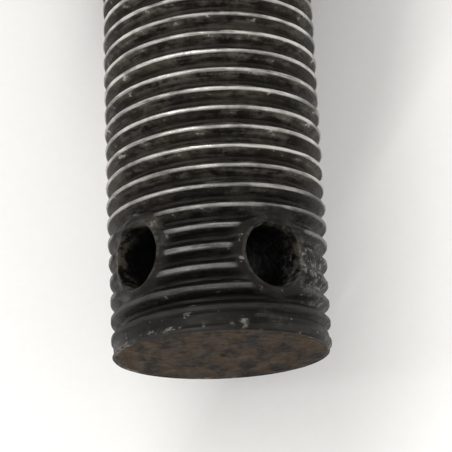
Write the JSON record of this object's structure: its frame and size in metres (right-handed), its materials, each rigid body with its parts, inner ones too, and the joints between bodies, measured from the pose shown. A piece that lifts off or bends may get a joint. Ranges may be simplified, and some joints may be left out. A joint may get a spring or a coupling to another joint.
{
  "type": "rod end bearing",
  "caption": "Male rod end with a greased spherical plain bearing, threaded shank with crossed split pin holes, jam nut and lock washer.",
  "frame": {"origin": "centre of the ball, on the axis of its bore", "axes": "+Z along the bore, -Y along the threaded shank towards its tip, +Y out of the eye's crown"},
  "size_m": [0.0444, 0.1095, 0.027],
  "materials": {
    "black_oxide": "oily black oxide on forged alloy steel, crests worn bright, rust on the end face",
    "ring_steel": "phosphated bearing steel, ground faces",
    "seal_rubber": "black nitrile rubber",
    "spring_steel": "oiled dark spring steel",
    "ball_steel": "hard chromed, polished bearing steel",
    "zinc_plate": "zinc plated steel, yellowed",
    "washer_black": "black oxide spring steel",
    "nut_black": "oily black oxide steel, worn at the corners"
  },
  "bodies": {
    "eye": {"rod_body": "black_oxide", "circlip_front": "spring_steel", "circlip_rear": "spring_steel", "grease_nipple": "zinc_plate", "check_spring": "spring_steel"},
    "ring": {"outer_ring": "ring_steel", "seal_front": "seal_rubber", "seal_rear": "seal_rubber"},
    "ball": {"swivel_ball": "ball_steel"},
    "valve_ball": {"check_ball": "ball_steel"},
    "washer": {"lock_washer": "washer_black"},
    "nut": {"jam_nut": "nut_black"}
  },
  "joints": [
    {"name": "race_turn", "type": "hinge", "parent": "eye", "child": "ring", "pos_m": [0, 0, 0], "axis": [0, 0, 1], "continuous": true},
    {"name": "ball_tilt", "type": "hinge", "parent": "ring", "child": "ball", "pos_m": [0, 0, 0], "axis": [1, 0, 0], "range_deg": [-14, 14]},
    {"name": "washer_slide", "type": "slide", "parent": "eye", "child": "washer", "axis": [0, -1, 0], "range_m": [0, 0.0254]},
    {"name": "nut_turn", "type": "hinge", "parent": "washer", "child": "nut", "pos_m": [0, -0.0346, 0], "axis": [0, -1, 0], "range_deg": [0, 6480]},
    {"name": "valve_plunge", "type": "slide", "parent": "eye", "child": "valve_ball", "axis": [0, -1, 0], "range_m": [0, 0.001], "stiffness_N_per_m": 300, "springref_m": -0.001, "deforming": ["check_spring"]}
  ],
  "couplings": [
    {"joint": "washer_slide", "follows": "nut_turn", "m_per_rad": 0.00022458}
  ]
}
